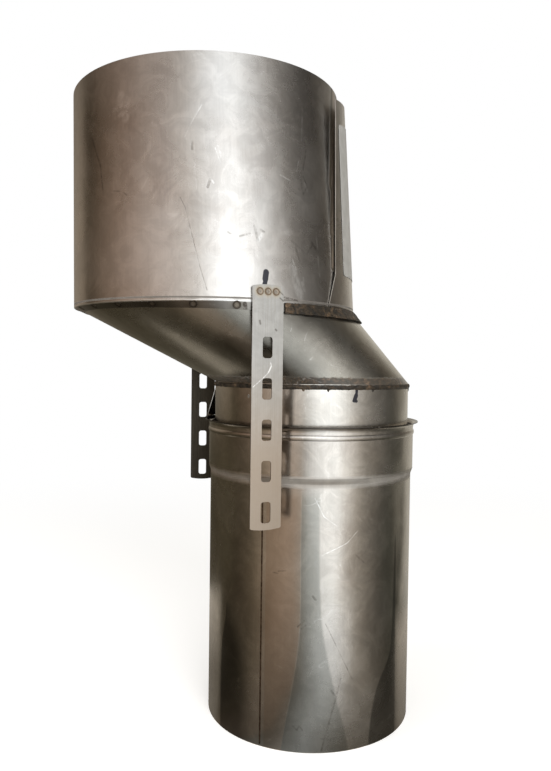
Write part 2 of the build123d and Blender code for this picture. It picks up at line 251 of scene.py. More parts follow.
def reflection_cards():
    """Round card and ground card that the metal mirrors: a window ahead, dim brown sides."""
    middle = -0.05
    radius = 0.6
    tall = 1.4
    # The card's floor lies this little above the studio's, so that the pipe's foot mirrors it as well
    lifted = 0.3 * mm
    pick()
    bpy.ops.mesh.primitive_cylinder_add(
        vertices=96, radius=radius, depth=tall, end_fill_type="NGON",
        location=(middle, 0.0, tall / 2 + lifted),
    )
    card = bpy.context.object
    card.name = "studio_cards"
    bpy.ops.object.transform_apply(location=True, rotation=True, scale=True)
    bpy.ops.object.mode_set(mode="EDIT")
    bpy.ops.mesh.select_all(action="DESELECT")
    bpy.ops.object.mode_set(mode="OBJECT")
    # Only the lid faces up, and it comes off
    for face in card.data.polygons:
        face.select = face.normal.z > 0.9
    bpy.ops.object.mode_set(mode="EDIT")
    bpy.ops.mesh.delete(type="FACE")
    bpy.ops.object.mode_set(mode="OBJECT")
    # Cloth that shines by itself, in the colours of the room that the metal mirrors
    material, add, coords = new_finish("studio_card_cloth")
    parts = add("SeparateXYZ", (coords["Object"],)).outputs
    across, angle = plan_angle(add, parts, middle)
    height = add("MapRange", (parts[2], 0.16, 0.4), **smooth)
    flat = add("CombineXYZ", (across, parts[1]))
    out = add("VectorMath", (flat,), operation="LENGTH")
    # Low down the edges of the bands wander, as mirrored folds of a ground sheet 170 mm apart
    folds = add(
        "TexNoise",
        {"Vector": coords["Object"], "Scale": 6.0, "Detail": 2.0, "Roughness": 0.5, "Distortion": 0.6},
    )
    wander = add("Math", (folds, 0.5), **minus)
    reach = add("Math", (height, -0.75, 0.8), **times_plus)
    wandering = add("Math", (wander, reach, angle), **times_plus)
    share = add("Math", (wandering, 0.5 / math.pi, 0.5), **times_plus)
    lower, upper = (
        add("ValToRGB", (share,), [(0.5 + degrees / 360, (*shade, 1.0)) for degrees, *shade in stops])
        for stops in (card_lower, card_upper)
    )
    # Wedge of pale ground behind the pipe, which its two edges mirror
    aside = add("Math", (parts[0],), **absolute)
    behind = add("Math", (aside, -0.53, parts[1]), **times_plus)
    past = add("MapRange", (behind, -0.102, -0.092), **smooth)
    close = add("MapRange", (out, 0.42, 0.36), **smooth)
    patch = add("Math", (past, close), **times)
    shade = layered(add, lower, [(upper, 1.0, height), ((1.0, 0.92, 0.8, 1.0), 1.0, patch)])
    # The ground darkens towards the object's own foot, but never to black
    near = add("MapRange", (out, 0.12, 0.56, 0.16, 0.86))
    shade = add("Mix", {0: near, 6: (0.055, 0.048, 0.036, 1.0), 7: shade}, **in_colour)
    # The window is brightest between the joint and the middle of the sleeve
    lift = add("MapRange", (parts[2], 0.02, 0.26, 1.0, 1.15), **smooth)
    dim = add("MapRange", (parts[2], 0.5, 0.88, 1.0, 0.64), **smooth)
    glow = add("Emission", {"Color": shade, "Strength": add("Math", (lift, dim), **times)})
    add("OutputMaterial", {"Surface": glow})
    card.data.materials.append(material)
    card.visible_camera = False
    card.visible_diffuse = False
    card.visible_shadow = False
    card.visible_transmission = False


def studio_lamp(name, place, target, size, watts):
    """Large soft lamp turned to a point on the object. The metal mirrors the card in its stead."""
    data = bpy.data.lights.new(name, "AREA")
    data.shape = "DISK"
    data.size = size
    data.energy = watts
    lamp = bpy.data.objects.new(name, data)
    lamp.visible_glossy = False
    bpy.context.scene.collection.objects.link(lamp)
    aim = Vector(target) - Vector(place)
    lamp.matrix_world = Matrix.Translation(place) @ aim.to_track_quat("-Z", "Y").to_matrix().to_4x4()


# Places and masks on the sheets
def strokes(add, flat, marks):
    """Mask of straight strokes on the unrolled sheet.

    Each mark is its two ends, half its width and the width of its soft edge, all in millimetres."""
    whole = 0.0
    for start, end, half, soft in marks:
        origin = Vector((*start, 0.0)) * mm
        run = Vector((*end, 0.0)) * mm - origin
        away = add("VectorMath", (flat, origin), **minus)
        share = add("VectorMath", (away, run / run.length_squared), operation="DOT_PRODUCT")
        share = add("Clamp", (share,))
        near = add("VectorMath", {0: run, "Scale": share}, operation="SCALE")
        gap = add("VectorMath", (away, near), operation="DISTANCE")
        mark = add("MapRange", (gap, (half + soft) * mm, half * mm), **smooth)
        whole = add("Math", (whole, mark), **most)
    return whole


def zone(add, flat, soft, edges):
    """Mask of an upright patch on the unrolled sheet.

    Each edge entry is a level and the places of the left and right side there, all in millimetres."""
    bottom = edges[0][0]
    tall = edges[-1][0] - bottom
    parts = add("SeparateXYZ", (flat,)).outputs
    share = add("Math", (parts[1], 1 / (tall * mm), -bottom / tall), **times_plus)
    # Red holds the left side and green the right one, where 0 to 1 stands for this far left to right
    reach = 200.0
    stops = [
        ((level - bottom) / tall, (0.5 + left / (2 * reach), 0.5 + right / (2 * reach), 0.0, 1.0))
        for level, left, right in edges
    ]
    sides = add("ValToRGB", (share,), stops)
    sides.color_ramp.interpolation = "B_SPLINE"
    sides = add("SeparateColor", (sides,)).outputs
    inside = add("MapRange", (share, 1.0, 0.94), **smooth)
    for side, fade, inwards in zip(sides, soft, (mm, -mm)):
        edge = add("Math", (side, 2 * reach * mm, -reach * mm), **times_plus)
        past = add("Math", (parts[0], edge), **minus)
        kept = add("MapRange", (past, -fade * inwards, fade * inwards), **smooth)
        inside = add("Math", (inside, kept), **times)
    return inside


def sheet_map(add, coords, low, high):
    """Places on a rolled sheet whose centre and radius change evenly between two levels.

    Gives the parts of the object place, the unrolled place in metres, how far the face looks outwards,
    and how far the point lies outside the sheet's outer face."""
    (low_level, low_centre, low_radius), (high_level, high_centre, high_radius) = low, high
    tall = high_level - low_level
    parts = add("SeparateXYZ", (coords["Object"],)).outputs
    rise = add("Math", (parts[2], low_level), **minus)
    middle = add("Math", (rise, (high_centre - low_centre) / tall, low_centre), **times_plus)
    radius = add("Math", (rise, (high_radius - low_radius) / tall, low_radius), **times_plus)
    across, angle = plan_angle(add, parts, middle)
    arc = add("Math", (angle, low_radius), **times)
    flat = add("CombineXYZ", (arc, parts[2]))
    radial = add("CombineXYZ", (across, parts[1]))
    out = add("VectorMath", (radial,), operation="LENGTH")
    beyond = add("Math", (out, radius), **minus)
    way = add("VectorMath", (radial,), operation="NORMALIZE")
    # The normal in the part's own frame, so that a turned part keeps its soot
    facing = add("VectorMath", (way, coords["Normal"]), operation="DOT_PRODUCT")
    return parts, flat, facing, beyond


def flange_weld_gap(add, parts):
    """Distance of a point from the nearest spot weld of the flange."""
    angle = plan_angle(add, parts, sleeve_x)[1]
    pitch = 2 * math.pi / flange_weld_count
    count = add("Math", (angle, 1 / pitch, -flange_weld_first / pitch), **times_plus)
    count = add("Math", (count,), operation="ROUND")
    nearest = add("Math", (count, pitch, flange_weld_first), **times_plus)
    sine = add("Math", (nearest,), operation="SINE")
    cosine = add("Math", (nearest,), operation="COSINE")
    # Share of the way from the seam down to the collar, by the flange's changing drop
    share = add("Math", (sine, weld_share_slope, weld_share_middle), **times_plus)
    reach = add("Math", (share, cone_foot_radius - sleeve_radius, sleeve_radius), **times_plus)
    offset = add("Math", (share, -sleeve_x, sleeve_x), **times_plus)
    across = add("Math", (sine, reach, offset), **times_plus)
    front = add("Math", (cosine, reach), **times)
    behind = add("Math", (front, -1.0), **times)
    level = add("Math", (share, cone_foot - sleeve_foot, sleeve_foot), **times_plus)
    weld = add("CombineXYZ", (across, behind, level))
    return add("VectorMath", (add("CombineXYZ", parts), weld), operation="DISTANCE")


def strap_map(add, parts, turn):
    """Place across and along a strap that faces a plan angle, and the gap to its nearest weld."""
    shifted = add("Math", (parts[0], sleeve_x), **minus)
    aside = add("Math", (shifted, math.cos(turn)), **times)
    across = add("Math", (parts[1], math.sin(turn), aside), **times_plus)
    flat = add("CombineXYZ", (across, parts[2]))
    nearest = 1.0
    for weld in strap_weld_places:
        gap = add("VectorMath", (flat, (*weld, 0.0)), operation="DISTANCE")
        nearest = add("Math", (gap, nearest), operation="MINIMUM")
    return flat, nearest


def heat_rings(add, gap, stops):
    """Layer of heat tint around a weld. Each stop is a distance in mm, a colour and its strength."""
    longest = stops[-1][0]
    share = add("Math", (gap, 1 / (longest * mm)), **times)
    rings = add(
        "ValToRGB", (share,),
        [(place / longest, colour(shade, strength)) for place, shade, strength in stops],
    ).outputs
    return rings["Color"], 1.0, rings["Alpha"]


# Heat tint: distances from a weld's middle in mm, colours and strengths
flange_rings = [
    (0.0, "#6a6358", 0.6), (1.6, "#4a4339", 0.6), (2.4, "#2c2620", 0.85), (3.3, "#2c2620", 0.85),
    (3.9, "#4a443b", 0.4), (6.0, "#57503f", 0.15), (9.0, "#6b6256", 0.0),
]
strap_rings = [
    (0.0, "#7c7064", 0.6), (1.4, "#a89c8c", 0.3), (2.2, "#8a735a", 0.6), (2.8, "#4f3c2c", 0.85),
    (3.2, "#8b7452", 0.55), (4.2, "#b09c78", 0.25), (6.5, "#c9bda8", 0.0),
]

# Noise on the rolled sheets: scale in cycles per metre, detail, roughness and distortion
sheet_noises = [
    (9.0, 5.0, 0.62, 0.4),  # stains 60 to 150 mm across
    (330.0, 4.0, 0.7, 0.0),  # specks 3 mm across, from handling
    (48.0, 6.0, 0.7, 1.2),  # finger smears 20 mm long
    (26.0, 6.0, 0.65, 0.0),  # clouds of soot, 40 mm across
    (16.0, 3.0, 0.5, 0.9),  # dried drops 60 mm across
    (140.0, 4.0, 0.7, 0.0),  # breaks in a scratch, 7 mm apart
    (24.0, 2.0, 0.4, 0.0),  # slow waves in the sheet, 40 mm long
]


# Finishes
def stainless_sheet(
    name, low, high, base, dark, light, roughness, pale=(), scored=(), ink=(), burnt=(), painted_shading=(), painted_reflections=(),
    gap_paint=(), creases=(), welded_and_shaded_flange=False, folded_hem_groove_shade=False, sprung_edge_highlight=False, smeared=False, shaded_lip_edge=False,
):
    """Rolled mill-finish stainless sheet, handled and heat-stained: soft broad reflections, faint upright
    rolling grain, cloudy brown stains, fine scratches, and soot on the inside."""
    material, add, coords = new_finish(name)
    place = coords["Object"]
    parts, flat, facing, beyond = sheet_map(add, coords, low, high)
    cloud, speck, smear, sooty, drops, breaks, wave = (
        add(
            "TexNoise",
            {"Vector": place, "Scale": scale, "Detail": detail, "Roughness": rough, "Distortion": warp},
        )
        for scale, detail, rough, warp in sheet_noises
    )
    tint = add("ValToRGB", (cloud,), [(0.32, dark), (0.5, base), (0.7, light)])
    # Rolling grain, drawn 1.5 mm wide where the real lines are finer
    stretched = add("Mapping", {"Vector": flat, "Scale": (650.0, 14.0, 1.0)})
    grain = add("TexNoise", {"Vector": stretched, "Scale": 1.0, "Detail": 3.0, "Roughness": 0.55})
    grain_shade = add("MapRange", (grain, 0.25, 0.75, 0.96, 1.03))
    smear_shade = add("MapRange", (smear, 0.38, 0.66, 0.9, 1.06), **smooth)
    shade = add("Mix", {0: 1.0, 6: tint, 7: grain_shade}, **shading)
    shade = add("Mix", {0: 1.0, 6: shade, 7: smear_shade}, **shading)
    # Soot only where the face looks inwards and lies within the sheet
    inwards = add("MapRange", (facing, 0.05, -0.25), **smooth)
    within = add("MapRange", (beyond, -0.3 * mm, -0.7 * mm), **smooth)
    inner = add("Math", (inwards, within), **times)
    soot = add("Math", (inner, add("MapRange", (sooty, 0.35, 0.65, 0.25, 0.8), **smooth)), **times)
    layers = [("#3a342c", 1.0, soot)]
    if painted_shading:
        # Painted shade whose edges wander by 6 mm
        sway = add("TexNoise", {"Vector": place, "Scale": 22.0, "Detail": 3.0})
        uneven = add("VectorMath", (sway.outputs["Color"], (0.5, 0.5, 0.5)), **minus)
        uneven = add("VectorMath", (uneven, (0.012, 0.012, 0.0), flat), **times_plus)
        layers += [(shading_tone, amount, strokes(add, uneven, marks)) for shading_tone, amount, marks in painted_shading]
    # Painted reflections: patches of mirrored light and shade laid into the colour
    layers += [(patch, amount, zone(add, flat, soft, edges)) for patch, amount, soft, edges in painted_reflections]
    if welded_and_shaded_flange:
        # Painted shade on the flange below the fold, which faces down
        flange_shade = add("MapRange", (parts[2], sleeve_foot - 0.6 * mm, sleeve_foot - 1.6 * mm), **smooth)
        layers.append(("#45413a", 0.72, flange_shade))
    if shaded_lip_edge:
        # Painted shade on the edge of the flared lip
        flared = add("MapRange", (beyond, 1.2 * mm, 2.2 * mm), **smooth)
        raised = add("MapRange", (parts[2], 283.0 * mm, 285.0 * mm), **smooth)
        layers.append(("#2e2a24", 0.85, add("Math", (flared, raised), **times)))
    pale_mask, scored_mask, ink_mask, char_and_groove_shade_mask = (
        strokes(add, flat, marks) for marks in (pale, scored, ink, burnt)
    )
    if burnt:
        # Char flakes 4 mm across
        ragged = add(
            "TexNoise",
            {"Vector": place, "Scale": 260.0, "Detail": 5.0, "Roughness": 0.75, "Distortion": 0.8},
        )
        char_and_groove_shade_mask = add("Math", (char_and_groove_shade_mask, add("MapRange", (ragged, 0.34, 0.58), **smooth)), **times)
    if folded_hem_groove_shade:
        # Painted shade: a dark line for the groove above the folded hem, added to the char mask
        groove_shade = add("Math", (parts[2], sleeve_foot + 1.9 * mm), **minus)
        groove_shade = add("Math", (groove_shade,), **absolute)
        groove_shade = add("MapRange", (groove_shade, 1.1 * mm, 0.3 * mm, 0.0, 0.75), **smooth)
        char_and_groove_shade_mask = add("Math", (char_and_groove_shade_mask, groove_shade), **most)
    wiped = 0.0
    if smeared:
        # Sealant wiped up over the last 6 mm of the cone, its brown crust in grains 4 mm across
        edge = add(
            "TexNoise",
            {"Vector": place, "Scale": 200.0, "Detail": 5.0, "Roughness": 0.7, "Distortion": 0.6},
        )
        crust = add(
            "TexNoise",
            {"Vector": place, "Scale": 240.0, "Detail": 6.0, "Roughness": 0.75, "Distortion": 1.0},
        )
        edge = add("Math", (edge, 5.0 * mm, parts[2]), **times_plus)
        wiped = add("MapRange", (edge, cone_foot + 9.4 * mm, cone_foot + 7.6 * mm), **smooth)
        browns = [(0.36, "#1a160f"), (0.5, "#352b1f"), (0.6, "#5d4938"), (0.7, "#94785f")]
        layers.append((add("ValToRGB", (crust,), browns), 0.85, wiped))
    if welded_and_shaded_flange:
        layers.append(heat_rings(add, flange_weld_gap(add, parts), flange_rings))
    # Tide marks: hair-thin outlines of dried drops
    outline = add("Math", (drops, 0.5), **minus)
    outline = add("Math", (outline,), **absolute)
    outline = add("MapRange", (outline, 0.008, 0.002), **smooth)
    tide = add("Math", (outline, add("MapRange", (smear, 0.5, 0.62), **smooth)), **times)
    # Marks come and go along their length
    broken = add("MapRange", (breaks, 0.36, 0.62, 0.15, 1.0), **smooth)
    pale_mask = add("Math", (pale_mask, broken), **times)
    scored_mask = add("Math", (scored_mask, broken), **times)
    layers += [
        ("#e4e0da", 0.22, tide), ("#e9e6e0", 0.5, pale_mask), ("#4a4238", 0.42, scored_mask),
        ("#2c231b", 0.92, char_and_groove_shade_mask), ("#12111b", 1.0, ink_mask),
    ]
    edge_highlight_mask = 0.0
    if sprung_edge_highlight:
        # Painted highlight on the cut edge of the end that stands off its ring
        off_ring = add("MapRange", (beyond, 0.6 * mm, 1.4 * mm), **smooth)
        edge_on = add("MapRange", (add("Math", (facing,), **absolute), 0.6, 0.3), **smooth)
        edge_highlight_mask = add("Math", (off_ring, edge_on), **times)
        layers.append(("#f4f2ee", 1.0, edge_highlight_mask))
    gap_paint_mask = 0.0
    if gap_paint:
        # Painted light in the gap of the lap, where shade falls, palest where it lies deepest, and painted
        # shade on its outer fringe
        sunk = add("MapRange", (beyond, 1.6 * mm, 0.9 * mm), **smooth)
        gap_paint_depth = add("Math", (strokes(add, flat, gap_paint), sunk), **times)
        deep = add("MapRange", (gap_paint_depth, 0.75, 1.0), **smooth)
        gap_paint_shade = add("Mix", {0: deep, 6: "#4f473e", 7: "#7b7063"}, **in_colour)
        gap_paint_mask = add("MapRange", (gap_paint_depth, 0.0, 0.35), **smooth)
        layers.append((gap_paint_shade, 1.0, gap_paint_mask))
    rough = add("MapRange", (cloud, 0.3, 0.7, roughness - 0.05, roughness + 0.07), **smooth)
    for mask, amount in ((smear, 0.08), (soot, 0.35), (char_and_groove_shade_mask, 0.35)):
        rough = add("Math", (mask, amount, rough), **times_plus)
    for level in creases:
        # The sheet is scuffed dull where it was rolled out
        crease = add("Math", (parts[2], level * mm), **minus)
        crease = add("Math", (crease,), **absolute)
        crease = add("MapRange", (crease, 5.0 * mm, 1.5 * mm, 0.0, 0.3), **smooth)
        rough = add("Math", (rough, crease), operation="ADD")
    # Ink, char, the groove's painted shade, the cut edge's painted highlight, the painted light and shade in
    # the lap's gap, and sealant aren't metal
    dull = add("Math", (wiped, 0.8), **times)
    for mask in (ink_mask, char_and_groove_shade_mask, edge_highlight_mask, gap_paint_mask):
        dull = add("Math", (dull, mask), **most)
    metallic = add("Math", (1.0, dull), **minus)
    # Scratches sink into the specks
    relief = speck
    for mask in (pale_mask, scored_mask):
        relief = add("Math", (mask, -3.0, relief), **times_plus)
    bump = {}
    for strength, depth, height in ((0.07, 0.4, relief), (0.1, 2.0, wave), (0.03, 0.3, grain)):
        height = {"Strength": strength, "Distance": depth * mm, "Height": height}
        bump = {"Normal": add("Bump", {**height, **bump})}
    shade = layered(add, shade, layers)
    shader = add("BsdfPrincipled", {"Base Color": shade, "Metallic": metallic, "Roughness": rough, **bump})
    add("OutputMaterial", {"Surface": shader})
    return material


def satin_strap(name, turn, first, second, reflection_tint=None, pale=(), dent_shade=()):
    """Satin-ground stainless strip: matt, brushed along its length, heat-tinted around its welds."""
    material, add, coords = new_finish(name)
    place = coords["Object"]
    parts = add("SeparateXYZ", (place,)).outputs
    flat, gap = strap_map(add, parts, turn)
    # Brush lines, drawn 0.8 mm wide where the real lines are finer
    stretched = add("Mapping", {"Vector": flat, "Scale": (1200.0, 22.0, 1.0)})
    grain = add("TexNoise", {"Vector": stretched, "Scale": 1.0, "Detail": 4.0, "Roughness": 0.6})
    lines = add("MapRange", (grain, 0.3, 0.7), **smooth)
    shade = add("Mix", {0: lines, 6: first, 7: second}, **in_colour)
    # Finger smears 17 mm long
    smear = add(
        "TexNoise", {"Vector": place, "Scale": 60.0, "Detail": 6.0, "Roughness": 0.7, "Distortion": 1.0}
    )
    smear_shade = add("MapRange", (smear, 0.36, 0.66, 0.88, 1.04), **smooth)
    shade = add("Mix", {0: 1.0, 6: shade, 7: smear_shade}, **shading)
    layers = []
    if reflection_tint:
        # Painted reflection: brown tint that grows towards the strap's foot
        layers.append((reflection_tint, 0.8, add("MapRange", (parts[2], 0.36, 0.25), **smooth)))
    # Heat tint round the welds, and painted shade where the strap is dented
    layers += [heat_rings(add, gap, strap_rings), ("#4d463e", 0.6, strokes(add, flat, dent_shade))]
    # Scratches broken every 4 mm
    breaks = add("TexNoise", {"Vector": place, "Scale": 260.0, "Detail": 3.0, "Roughness": 0.6})
    broken = add("MapRange", (breaks, 0.36, 0.6, 0.05, 0.75), **smooth)
    scratch = add("Math", (strokes(add, flat, pale), broken), **times)
    shade = layered(add, shade, layers + [("#f1efeb", 1.0, scratch)])
    metallic = add("Math", (1.0, scratch), **minus)
    rough = add("Math", (smear, 0.12, 0.34), **times_plus)
    bump = add("Bump", {"Strength": 0.05, "Distance": 0.3 * mm, "Height": grain})
    shader = add(
        "BsdfPrincipled", {"Base Color": shade, "Metallic": metallic, "Roughness": rough, "Normal": bump}
    )
    add("OutputMaterial", {"Surface": shader})
    return material


def weld_metal(name, turn=None):
    """Melted and set stainless of a spot weld, oxidised in rings: of the strap that faces a plan angle,
    or else of the flange."""
    material, add, coords = new_finish(name)
    parts = add("SeparateXYZ", (coords["Object"],)).outputs
    # Grit 1 mm across
    grit = add("TexNoise", {"Vector": coords["Object"], "Scale": 900.0, "Detail": 4.0, "Roughness": 0.7})
    greys = add("MapRange", (grit, 0.35, 0.65), **smooth)
    shade = add("Mix", {0: greys, 6: "#6d6458", 7: "#978d80"}, **in_colour)
    if turn is None:
        rings = heat_rings(add, flange_weld_gap(add, parts), flange_rings)
    else:
        rings = heat_rings(add, strap_map(add, parts, turn)[1], strap_rings)
    shade = layered(add, shade, [rings])
    bump = add("Bump", {"Strength": 0.35, "Distance": 0.3 * mm, "Height": grit})
    shader = add("BsdfPrincipled", {"Base Color": shade, "Metallic": 1.0, "Roughness": 0.45, "Normal": bump})
    add("OutputMaterial", {"Surface": shader})
    return material


def burnt_sealant():
    """High-temperature sealant, burnt brown and black, crusted, with a few glassy spots."""
    material, add, coords = new_finish("burnt_sealant")
    place = coords["Object"]
    # Crust 8 mm across and grit 1.5 mm across
    crust = add(
        "TexNoise", {"Vector": place, "Scale": 120.0, "Detail": 6.0, "Roughness": 0.7, "Distortion": 0.8}
    )
    grit = add("TexNoise", {"Vector": place, "Scale": 650.0, "Detail": 4.0, "Roughness": 0.75})
    browns = [(0.34, "#14110c"), (0.47, "#2a2319"), (0.57, "#413527"), (0.67, "#6b553f"), (0.8, "#9c866a")]
    grit_shade = add("MapRange", (grit, 0.3, 0.7, 0.65, 1.25), **smooth)
    shade = add("Mix", {0: 1.0, 6: add("ValToRGB", (crust,), browns), 7: grit_shade}, **shading)
    rough = add("MapRange", (grit, 0.42, 0.68, 0.75, 0.28), **smooth)
    height = add("Math", (grit, 0.35, crust), **times_plus)
    bump = add("Bump", {"Strength": 0.8, "Distance": 1.2 * mm, "Height": height})
    shader = add("BsdfPrincipled", {"Base Color": shade, "Metallic": 0.0, "Roughness": rough, "Normal": bump})
    add("OutputMaterial", {"Surface": shader})
    return material


def plain_finish(name, first, second, scale, roughness, metallic=0.0, relief=0.3, depth=0.3):
    """Plain material with one soft noise between two colours and a slight relief, its depth in mm."""
    material, add, coords = new_finish(name)
    grain = add("TexNoise", {"Vector": coords["Object"], "Scale": scale, "Detail": 5.0, "Roughness": 0.65})
    mottle = add("MapRange", (grain, 0.32, 0.68), **smooth)
    shade = add("Mix", {0: mottle, 6: first, 7: second}, **in_colour)
    bump = add("Bump", {"Strength": relief, "Distance": depth * mm, "Height": grain})
    shader = add(
        "BsdfPrincipled", {"Base Color": shade, "Metallic": metallic, "Roughness": roughness, "Normal": bump}
    )
    add("OutputMaterial", {"Surface": shader})
    return material


# Pieces modelled over the plain solids
def apply_all(piece):
    """Applies the piece's modifiers, then its place, turn and size."""
    pick(piece)
    for modifier in list(piece.modifiers):
        bpy.ops.object.modifier_apply(modifier=modifier.name)
    bpy.ops.object.transform_apply(location=True, rotation=True, scale=True)


def joined(pieces, name):
    """Joins pieces into the first of them."""
    pick(*pieces)
    bpy.ops.object.join()
    whole = bpy.context.object
    whole.name = name
    whole.data.name = name
    return whole


def finish_piece(piece, material, sharp=40.0):
    """Gives a modelled piece outward normals, smooth shading up to an angle, and its material."""
    pick(piece)
    bpy.ops.object.mode_set(mode="EDIT")
    bpy.ops.mesh.select_all(action="SELECT")
    bpy.ops.mesh.normals_make_consistent(inside=False)
    bpy.ops.object.mode_set(mode="OBJECT")
    bpy.ops.object.shade_smooth_by_angle(angle=math.radians(sharp))
    piece.data.materials.clear()
    piece.data.materials.append(material)


def rope_ring(material):
    """Three twisted strands bent round into the ring that fills the socket's mouth."""
    strand_radius = 0.93 * mm
    length = 2 * math.pi * rope_radius
    # Tube pieces of a strand, 1 mm each
    pieces = 620
    # Distance from the rope's middle at which the strands just touch
    away = strand_radius * 1.15
    strands = []
    for index in range(3):
        turn = index * 2 * math.pi / 3
        pick()
        bpy.ops.mesh.primitive_cylinder_add(
            vertices=10, radius=strand_radius, depth=length / pieces, end_fill_type="NOTHING",
            location=((length / pieces - length) / 2, away * math.cos(turn), away * math.sin(turn)),
            rotation=(0, math.pi / 2, 0),
        )
        strand = bpy.context.object
        apply_all(strand)
        repeat = strand.modifiers.new("repeat", "ARRAY")
        repeat.count = pieces
        repeat.use_merge_vertices = True
        repeat.merge_threshold = 0.01 * mm
        apply_all(strand)
        strands.append(strand)
    rope = joined(strands, "twisted_sealing_rope")
    twist = rope.modifiers.new("twist", "SIMPLE_DEFORM")
    twist.deform_method = "TWIST"
    twist.deform_axis = "X"
    twist.angle = rope_turns * 2 * math.pi
    bend = rope.modifiers.new("bend", "SIMPLE_DEFORM")
    bend.deform_method = "BEND"
    bend.deform_axis = "Z"
    bend.angle = 2 * math.pi
    apply_all(rope)
    pick(rope)
    bpy.ops.transform.translate(value=(0, -rope_radius, rope_level))
    apply_all(rope)
    bpy.ops.object.mode_set(mode="EDIT")
    bpy.ops.mesh.select_all(action="SELECT")
    bpy.ops.mesh.remove_doubles(threshold=0.02 * mm)
    bpy.ops.object.mode_set(mode="OBJECT")
    finish_piece(rope, material, 60.0)
    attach(rope, "sealing_rope")
    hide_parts("socket_sealing_rope")


def weld_nugget(radius, stand):
    """Low round weld nugget with a raised rim and a dished middle, drawn about the origin."""
    thick = 0.5 * mm
    pick()
    bpy.ops.mesh.primitive_cylinder_add(
        vertices=28, radius=radius, depth=thick, end_fill_type="NGON", location=(0, 0, stand - thick / 2)
    )
    nugget = bpy.context.object
    apply_all(nugget)
    top = max(nugget.data.polygons, key=lambda face: face.center.z).index
    bpy.ops.object.mode_set(mode="EDIT")
    bpy.ops.mesh.select_all(action="DESELECT")
    bpy.ops.object.mode_set(mode="OBJECT")
    nugget.data.polygons[top].select = True
    bpy.ops.object.mode_set(mode="EDIT")
    # A rim, a slope down into the dish, and a low knob in its middle
    bpy.ops.mesh.inset(thickness=0.28 * radius)
    bpy.ops.mesh.inset(thickness=0.18 * radius)
    bpy.ops.transform.translate(value=(0, 0, -0.22 * mm))
    bpy.ops.mesh.inset(thickness=0.25 * radius)
    bpy.ops.transform.translate(value=(0, 0, 0.08 * mm))
    bpy.ops.object.mode_set(mode="OBJECT")
    rounding = nugget.modifiers.new("rounding", "BEVEL")
    rounding.width = 0.10 * mm
    rounding.segments = 2
    apply_all(nugget)
    return nugget


def placed_copies(first, places, name):
    """Copies of a piece, each with its own mesh, turned to their places and joined."""
    copies = []
    for matrix in places:
        copy = first.copy()
        copy.data = first.data.copy()
        bpy.context.scene.collection.objects.link(copy)
        copy.matrix_world = matrix
        copies.append(copy)
    bpy.data.objects.remove(first)
    for copy in copies:
        apply_all(copy)
    return joined(copies, name)


def frame_of(origin, along, outward):
    """Matrix with X along one direction and Z along the outward one."""
    z = outward.normalized()
    y = z.cross(along).normalized()
    x = y.cross(z)
    return Matrix.Translation(origin) @ Matrix((x, y, z)).transposed().to_4x4()


def flange_nuggets(material):
    """Spot welds of the flange, square to its slope."""
    places = []
    for index in range(flange_weld_count):
        turn = flange_weld_first + index * 2 * math.pi / flange_weld_count
        sine = math.sin(turn)
        cosine = math.cos(turn)
        top = Vector((sleeve_x + sleeve_radius * sine, -sleeve_radius * cosine, sleeve_foot))
        low = Vector((cone_foot_radius * sine, -cone_foot_radius * cosine, cone_foot))
        share = weld_share_middle + weld_share_slope * sine
        around = Vector((cosine, sine, 0.0))
        outward = around.cross(low - top)
        if outward.dot(Vector((sine, -cosine, 0.0))) < 0:
            outward = -outward
        places.append(frame_of(top.lerp(low, share), around, outward))
    nuggets = placed_copies(weld_nugget(3.6 * mm, 0.12 * mm), places, "flange_weld_nuggets")
    finish_piece(nuggets, material)
    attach(nuggets, "adapter")
    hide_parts("flange_spot_welds")


def strap_nuggets(side, turn, material):
    """Three spot welds through the leaning top of a strap."""
    sine = math.sin(turn)
    cosine = math.cos(turn)
    inwards = sleeve_radius - sleeve_head_radius + (sleeve_x - sleeve_head_x) * sine
    lean = inwards / (sleeve_head - sleeve_foot)
    outward = Vector((sine, -cosine, lean))
    around = Vector((cosine, sine, 0.0))
    places = []
    for across, level in strap_weld_places:
        back = (level - sleeve_foot) * lean
        centre = Vector((sleeve_x, 0.0, level)) + Vector((sine, -cosine, 0.0)) * (strap_face - back)
        places.append(frame_of(centre + around * across, around, outward))
    nuggets = placed_copies(weld_nugget(3.1 * mm, 0.22 * mm), places, side + "_strap_nuggets")
    finish_piece(nuggets, material)
    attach(nuggets, "adapter")
    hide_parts(side + "_strap_welds")


